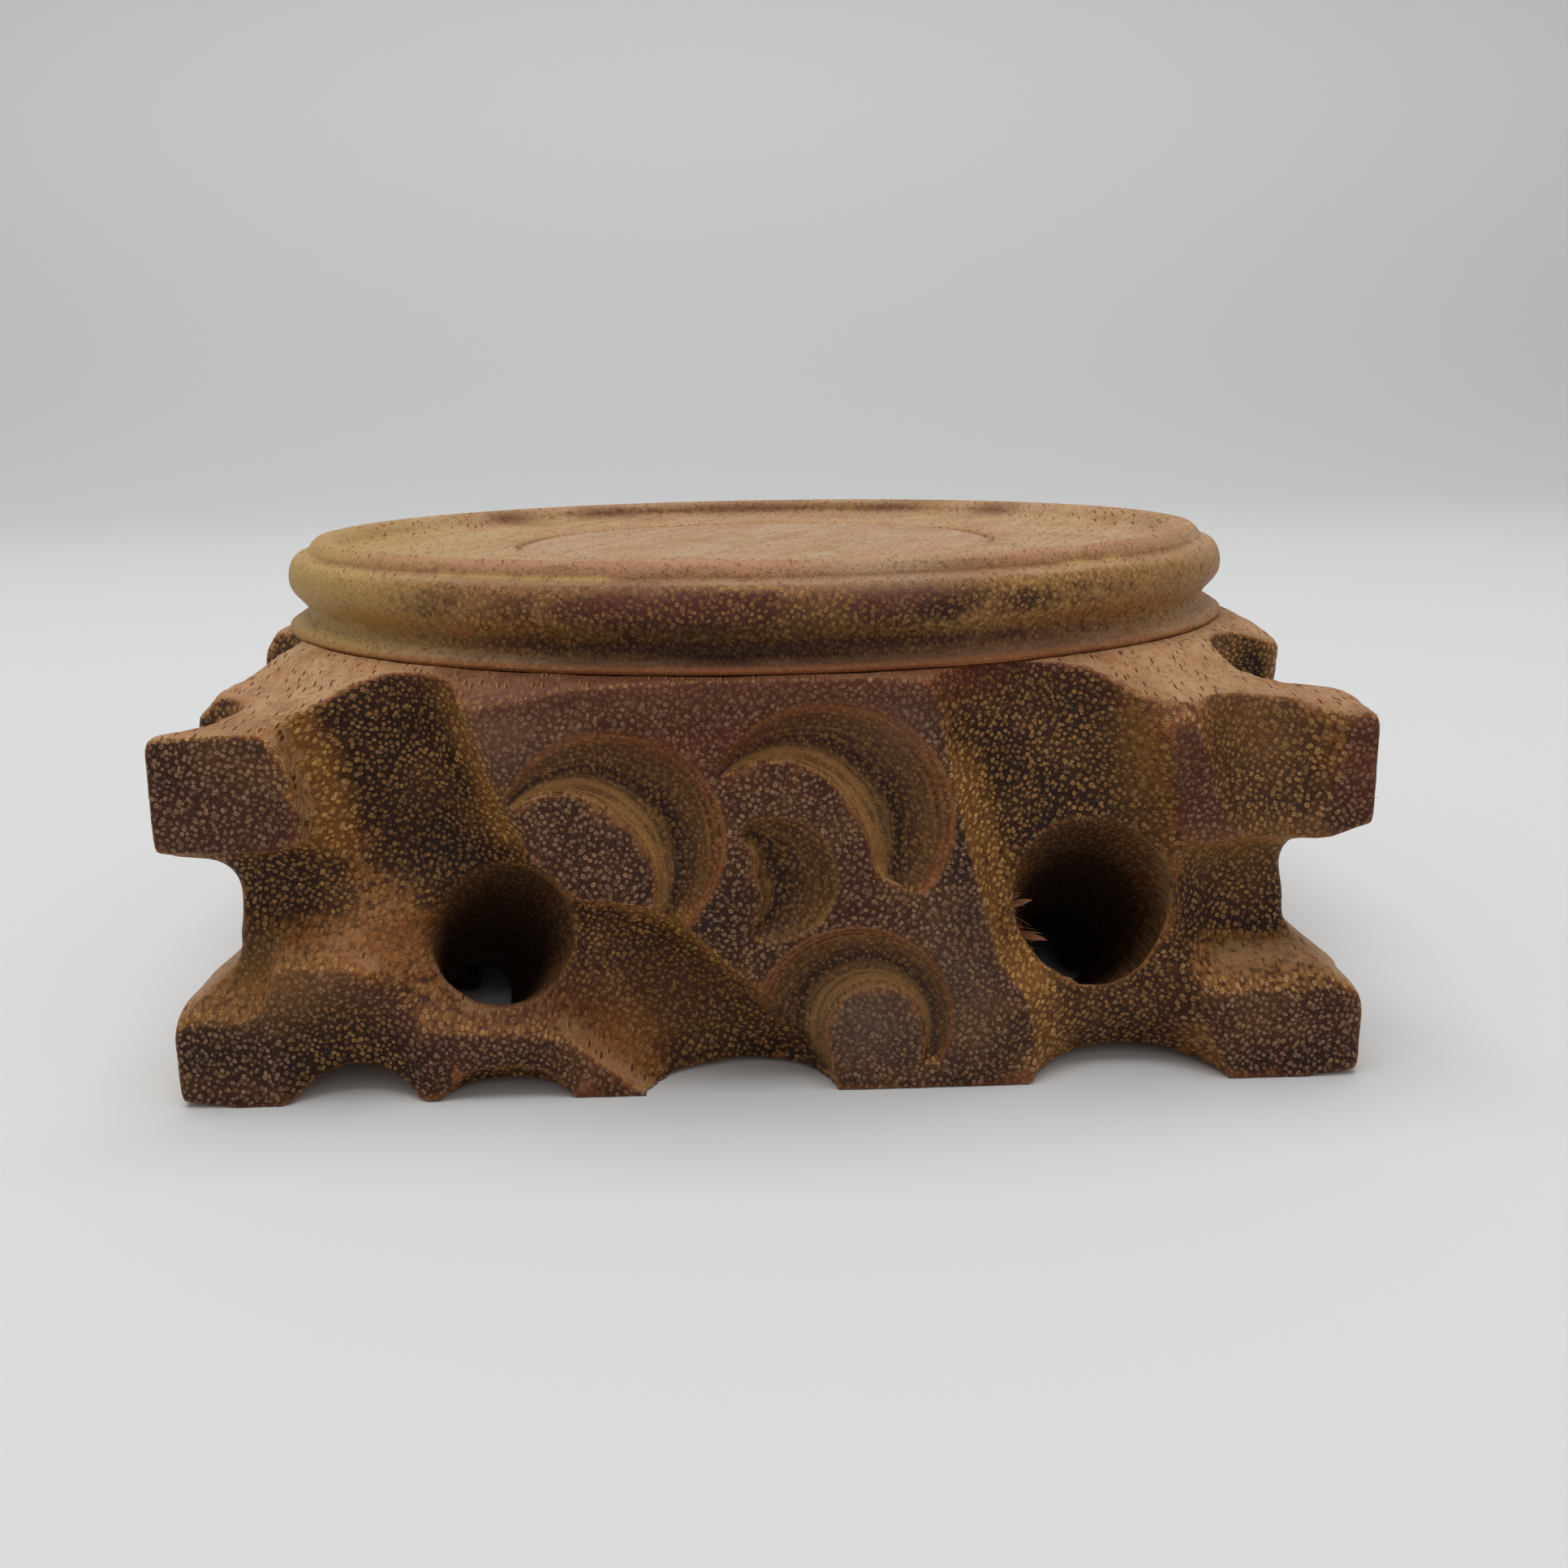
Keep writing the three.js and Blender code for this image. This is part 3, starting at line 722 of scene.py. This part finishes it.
dice = random.Random(4)
fibres = bmesh.new()
for start, end, count, length, width, lean in tear_shares:
    for quarter in range(4):
        spin = quarter_turn(quarter)
        for _ in range(count):
            wanted = on_face(start).lerp(on_face(end), dice.random())
            wanted += Vector([dice.uniform(-0.5, 0.5) * MM for _ in range(3)])
            _, root, normal, _ = base.closest_point_on_mesh(spin @ wanted)
            aim = (spin @ Vector([share + dice.uniform(-0.45, 0.45) for share in lean])).normalized()
            add_to(fibres, sliver(root - normal * width, (aim + normal * 0.35).normalized(),
                                  length * dice.uniform(0.4, 1.2), width * dice.uniform(0.5, 1.1)))
bmesh.ops.recalc_face_normals(fibres, faces=fibres.faces)
torn_fibres = new_piece("torn_fibres", fibres)
places = places_of(torn_fibres.data)
places[:, :2] = np.clip(places[:, :2], -half_side, half_side)
set_places(torn_fibres.data, places)
straw = bpy.data.materials.new("torn_fibre")
straw.use_nodes = True
straw_shader = straw.node_tree.nodes["Principled BSDF"]
straw_place = add_node(straw.node_tree, "TexCoord").outputs["Object"]
straw_cloud = cloud(straw.node_tree, straw_place, (700, 700, 700))
straw.node_tree.links.new(mixed(straw.node_tree, straw_cloud, srgb(84, 46, 26), srgb(158, 106, 60)),
                          straw_shader.inputs["Base Color"])
straw_shader.inputs["Roughness"].default_value = 0.75
torn_fibres.data.materials.append(straw)
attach(torn_fibres, "root")


# The tray
# Turned on a lathe from the same wood: a cove foot, a fat bead, a stepped rim and a dished floor.
# A tenon under it drops into the base, and it is glued there.

tray_low, tray_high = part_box("turned_tray")
disc_low, disc_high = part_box("centre_disc")
tray_top = tray_high.z
bead_radius = half_side - 1.3 * MM
neck_radius = bead_radius - 1.5 * MM
rim_radius = bead_radius - 3.5 * MM
dish_radius = rim_radius - 2.2 * MM
dish_floor = disc_high.z
disc_radius = disc_high.x
disc_recess = disc_radius + 0.3 * MM
recess_floor = disc_low.z
tenon_radius = cavity_radius - 0.3 * MM
bead_height = tray_top - 3.8 * MM

profile = [
    (0, tray_low.z), (tenon_radius, tray_low.z), (tenon_radius, base_height),
    (bead_radius + 0.2 * MM, base_height), (bead_radius + 0.15 * MM, base_height + 0.35 * MM),
    (bead_radius - 0.55 * MM, base_height + 0.8 * MM), (neck_radius, base_height + 1.3 * MM),
]
for step in range(12):
    share = 1 - step / 12
    swelling = (1 + math.cos(math.pi * share ** 1.25)) / 2
    profile.append((neck_radius - 0.2 * MM + (bead_radius - neck_radius + 0.2 * MM) * swelling,
                    bead_height - 3.1 * MM * share))
for step in range(9):
    turn = step / 8 * 1.22
    profile.append((neck_radius + (bead_radius - neck_radius) * math.cos(turn),
                    bead_height + 2.35 * MM * math.sin(turn)))
profile += [
    (rim_radius + 1.62 * MM, tray_top - 1.34 * MM), (rim_radius + 1.5 * MM, tray_top - 1.22 * MM),
    (rim_radius + 1.36 * MM, tray_top - 0.95 * MM), (rim_radius + 1.05 * MM, tray_top - 0.5 * MM),
    (rim_radius + 0.6 * MM, tray_top - 0.12 * MM), (rim_radius, tray_top),
    (rim_radius - 0.6 * MM, tray_top - 0.08 * MM), (rim_radius - 1.2 * MM, tray_top - 0.35 * MM),
    (rim_radius - 1.7 * MM, tray_top - 0.95 * MM), (dish_radius + 0.15 * MM, dish_floor + 0.3 * MM),
    (dish_radius - 0.4 * MM, dish_floor), (disc_recess + 0.5 * MM, dish_floor),
    (disc_recess, dish_floor - 0.3 * MM), (disc_recess, recess_floor), (0, recess_floor),
]
tray = turned_solid("turned_tray_wood", profile, 360)
tray.data.shade_smooth()
tray_colours = base_colours | {
    "end red": srgb(84, 44, 34), "end ochre": srgb(112, 78, 42), "slope": srgb(158, 118, 68),
    "slope dark": srgb(128, 86, 48), "side": srgb(188, 158, 118), "side red": srgb(186, 144, 108),
    "dash": srgb(110, 62, 40), "dot": srgb(176, 128, 72), "khaki": srgb(182, 150, 86),
    # The near-black colour on the next line is partly painted shade under the bead
    "purple": srgb(104, 62, 50), "dark grain and painted shade": srgb(40, 25, 20), "rim": srgb(178, 128, 96),
    "pale_band": srgb(184, 156, 126),
}


def around(degrees, radius, height):
    return (radius * math.cos(math.radians(degrees)), radius * math.sin(math.radians(degrees)), height)


# Stains of the tray, and painted shade over the dark end grain of the lower bead and the cove at the front,
# placed by degrees round from its right, radius and height
tray_patches = [
    (around(188, bead_radius, bead_height), (17, 26, 9), "khaki", 0.95),
    (around(214, bead_radius, bead_height), (13, 15, 9), "khaki", 0.9),
    (around(322, bead_radius, bead_height), (12, 14, 5), "slope", 0.45),
    (around(240, bead_radius, bead_height + 1.6 * MM), (9, 7, 1.6), "purple", 0.5),
    (around(258, bead_radius, bead_height + 1.8 * MM), (9, 6, 1.5), "purple", 0.75),
    (around(283, bead_radius, bead_height + 1.6 * MM), (9, 6, 1.5), "purple", 0.75),
    # Painted shade: the lower bead and the cove under it at the front are painted near black, over their
    # dark end grain
    (around(262, bead_radius, bead_height - 1.5 * MM), (13, 5, 0.7), "dark grain and painted shade", 0.85),
    (around(266, neck_radius, base_height + 1.4 * MM), (27, 13, 2.2), "dark grain and painted shade", 1.0),
    (around(300, neck_radius, base_height + 1 * MM), (14, 9, 2), "purple", 0.6),
    (around(272, bead_radius, base_height + 0.4 * MM), (24, 12, 0.5), "red brown", 0.8),
    (around(270, bead_radius, base_height), (30, 12, 0.18), "edge", 0.55),
    (around(252, rim_radius + 1 * MM, tray_top - 0.7 * MM), (7, 4, 0.8), "purple", 0.45),
    (around(290, rim_radius + 1 * MM, tray_top - 0.9 * MM), (5, 4, 0.6), "purple", 0.4),
    (around(281, rim_radius + 1 * MM, tray_top - 0.8 * MM), (7, 4, 1.3), "pale_band", 0.8),
    *[(around(degrees, rim_radius + 0.7 * MM, tray_top - 0.5 * MM), (7, 5, 0.9),
       "rim", 0.8) for degrees in (225, 240, 255, 270, 300, 315)],
    *[(around(degrees, rim_radius + 1.5 * MM, tray_top - 1.28 * MM), (6, 6, 0.22),
       "slope dark", 0.75) for degrees in range(212, 332, 11)],
    *[(around(degrees, rim_radius + 1.6 * MM, tray_top - 1.3 * MM), (1.3, 1.3, 0.22),
       "khaki", 0.9) for degrees in (235, 239, 242, 246, 250, 253, 305, 311)],
    *[(around(degrees, dish_radius + 0.5 * MM, tray_top - 0.9 * MM), (12, 2.5, 0.9),
       "red brown", 0.8) for degrees in (45, 65, 90, 115, 135)],
]
paint_patches(tray, tray_patches, tray_colours)
tray_wood = open_grained_wood("tray_wood", tray_colours, 7.3, dash_depth=0.75, end_from=0.2,
                              dots_below=tray_top / MM - 1.4, streak_turn=20, dots_lost=0.9)
dress(tray, tray_wood, "turned_tray")


# The centre disc
# A round disc let into the tray's floor, with its edge eased to a shallow groove.

disc = turned_solid("centre_disc_wood", [
    (0, recess_floor), (disc_radius, recess_floor), (disc_radius, dish_floor - 0.5 * MM),
    (disc_radius - 0.4 * MM, dish_floor - 0.36 * MM), (disc_radius - 1.6 * MM, dish_floor - 0.04 * MM),
    (disc_radius - 2.0 * MM, dish_floor), (0, dish_floor)], 256)
disc.data.shade_smooth()
disc_colours = tray_colours | {"side": srgb(184, 157, 122), "side red": srgb(182, 140, 108)}
paint_patches(disc, [], disc_colours)
disc_wood = open_grained_wood("disc_wood", disc_colours, 15.1, dash_depth=0.4, streak_turn=20)
dress(disc, disc_wood, "centre_disc")


# Floor, backdrop, light and camera
# A pale seamless sheet that runs from the table up behind the stand, under soft studio light. Its paper is
# painted lighter up the backdrop, as painted light.

sheet_reach = 6.0
sheet_top = 2.4
sweep_start = 0.75
sweep_radius = 0.9
sweep_steps = 24
sweep_end = math.radians(84)
sheet = bmesh.new()
line = [sheet.verts.new((-sheet_reach, y, 0)) for y in (-sheet_reach, 0, sweep_start)]
for step in range(1, sweep_steps + 1):
    turn = sweep_end * step / sweep_steps
    line.append(sheet.verts.new((-sheet_reach, sweep_start + sweep_radius * math.sin(turn),
                                 sweep_radius * (1 - math.cos(turn)))))
line.append(sheet.verts.new((-sheet_reach, sweep_start + sweep_radius * 1.06, sheet_top)))
for first, second in zip(line, line[1:]):
    sheet.edges.new((first, second))
widened = verts_in(bmesh.ops.extrude_edge_only(sheet, edges=sheet.edges[:])["geom"])
bmesh.ops.translate(sheet, vec=(2 * sheet_reach, 0, 0), verts=widened)
bmesh.ops.recalc_face_normals(sheet, faces=sheet.faces)
backdrop = new_piece("backdrop", sheet)
backdrop.data.shade_smooth()
paper = bpy.data.materials.new("paper")
paper.use_nodes = True
paper_shader = paper.node_tree.nodes["Principled BSDF"]
paper_place = add_node(paper.node_tree, "TexCoord").outputs["Object"]
paper_height = add_node(paper.node_tree, "SeparateXYZ", {0: paper_place}).outputs["Z"]
# Painted light: the paper is painted lighter from the table up the backdrop, in place of how the light falls
# over the sweep
painted_falloff_paper = mixed(paper.node_tree, between(paper.node_tree, paper_height, 0.0, 0.4),
                     srgb(216, 216, 215), srgb(236, 236, 236))
paper.node_tree.links.new(painted_falloff_paper, paper_shader.inputs["Base Color"])
paper_shader.inputs["Roughness"].default_value = 0.9
backdrop.data.materials.append(paper)

world = bpy.data.worlds.new("studio")
bpy.context.scene.world = world
world.use_nodes = True
world.node_tree.nodes["Background"].inputs["Color"].default_value = (0.95, 0.97, 1.0, 1)
world.node_tree.nodes["Background"].inputs["Strength"].default_value = 0.40


def soft_lamp(name, place, aim, width, energy):
    lamp = bpy.data.lights.new(name, "AREA")
    lamp.shape = "SQUARE"
    lamp.size = width
    lamp.energy = energy
    made = bpy.data.objects.new(name, lamp)
    made.location = place
    made.rotation_euler = (Vector(aim) - Vector(place)).to_track_quat("-Z", "Y").to_euler()
    bpy.context.scene.collection.objects.link(made)


soft_lamp("overhead", (-0.1, 0.0, 1.3), (0, 0, 0.02), 1.2, 14.0)
soft_lamp("front_fill", (0.3, -1.1, 0.55), (0, 0, 0.02), 0.8, 1.0)

# The camera stands where the picture was taken from, with these as its right, up and forward
right = Vector((0.99929172, -0.03379287, -0.01655624))
up = Vector((0.0236974, 0.22334139, 0.97445218))
forward = Vector((0.02923184, 0.97415433, -0.223984))
lens = bpy.data.cameras.new("camera")
lens.sensor_width = 36
lens.lens = 37.34
lens.clip_start = 0.01
camera = bpy.data.objects.new("camera", lens)
camera.matrix_world = Matrix((right, up, -forward)).transposed().to_4x4()
camera.matrix_world.translation = Vector((-2.706, -177.582, 55.992)) * MM
bpy.context.scene.collection.objects.link(camera)
bpy.context.scene.camera = camera
bpy.context.scene.view_settings.view_transform = "Standard"
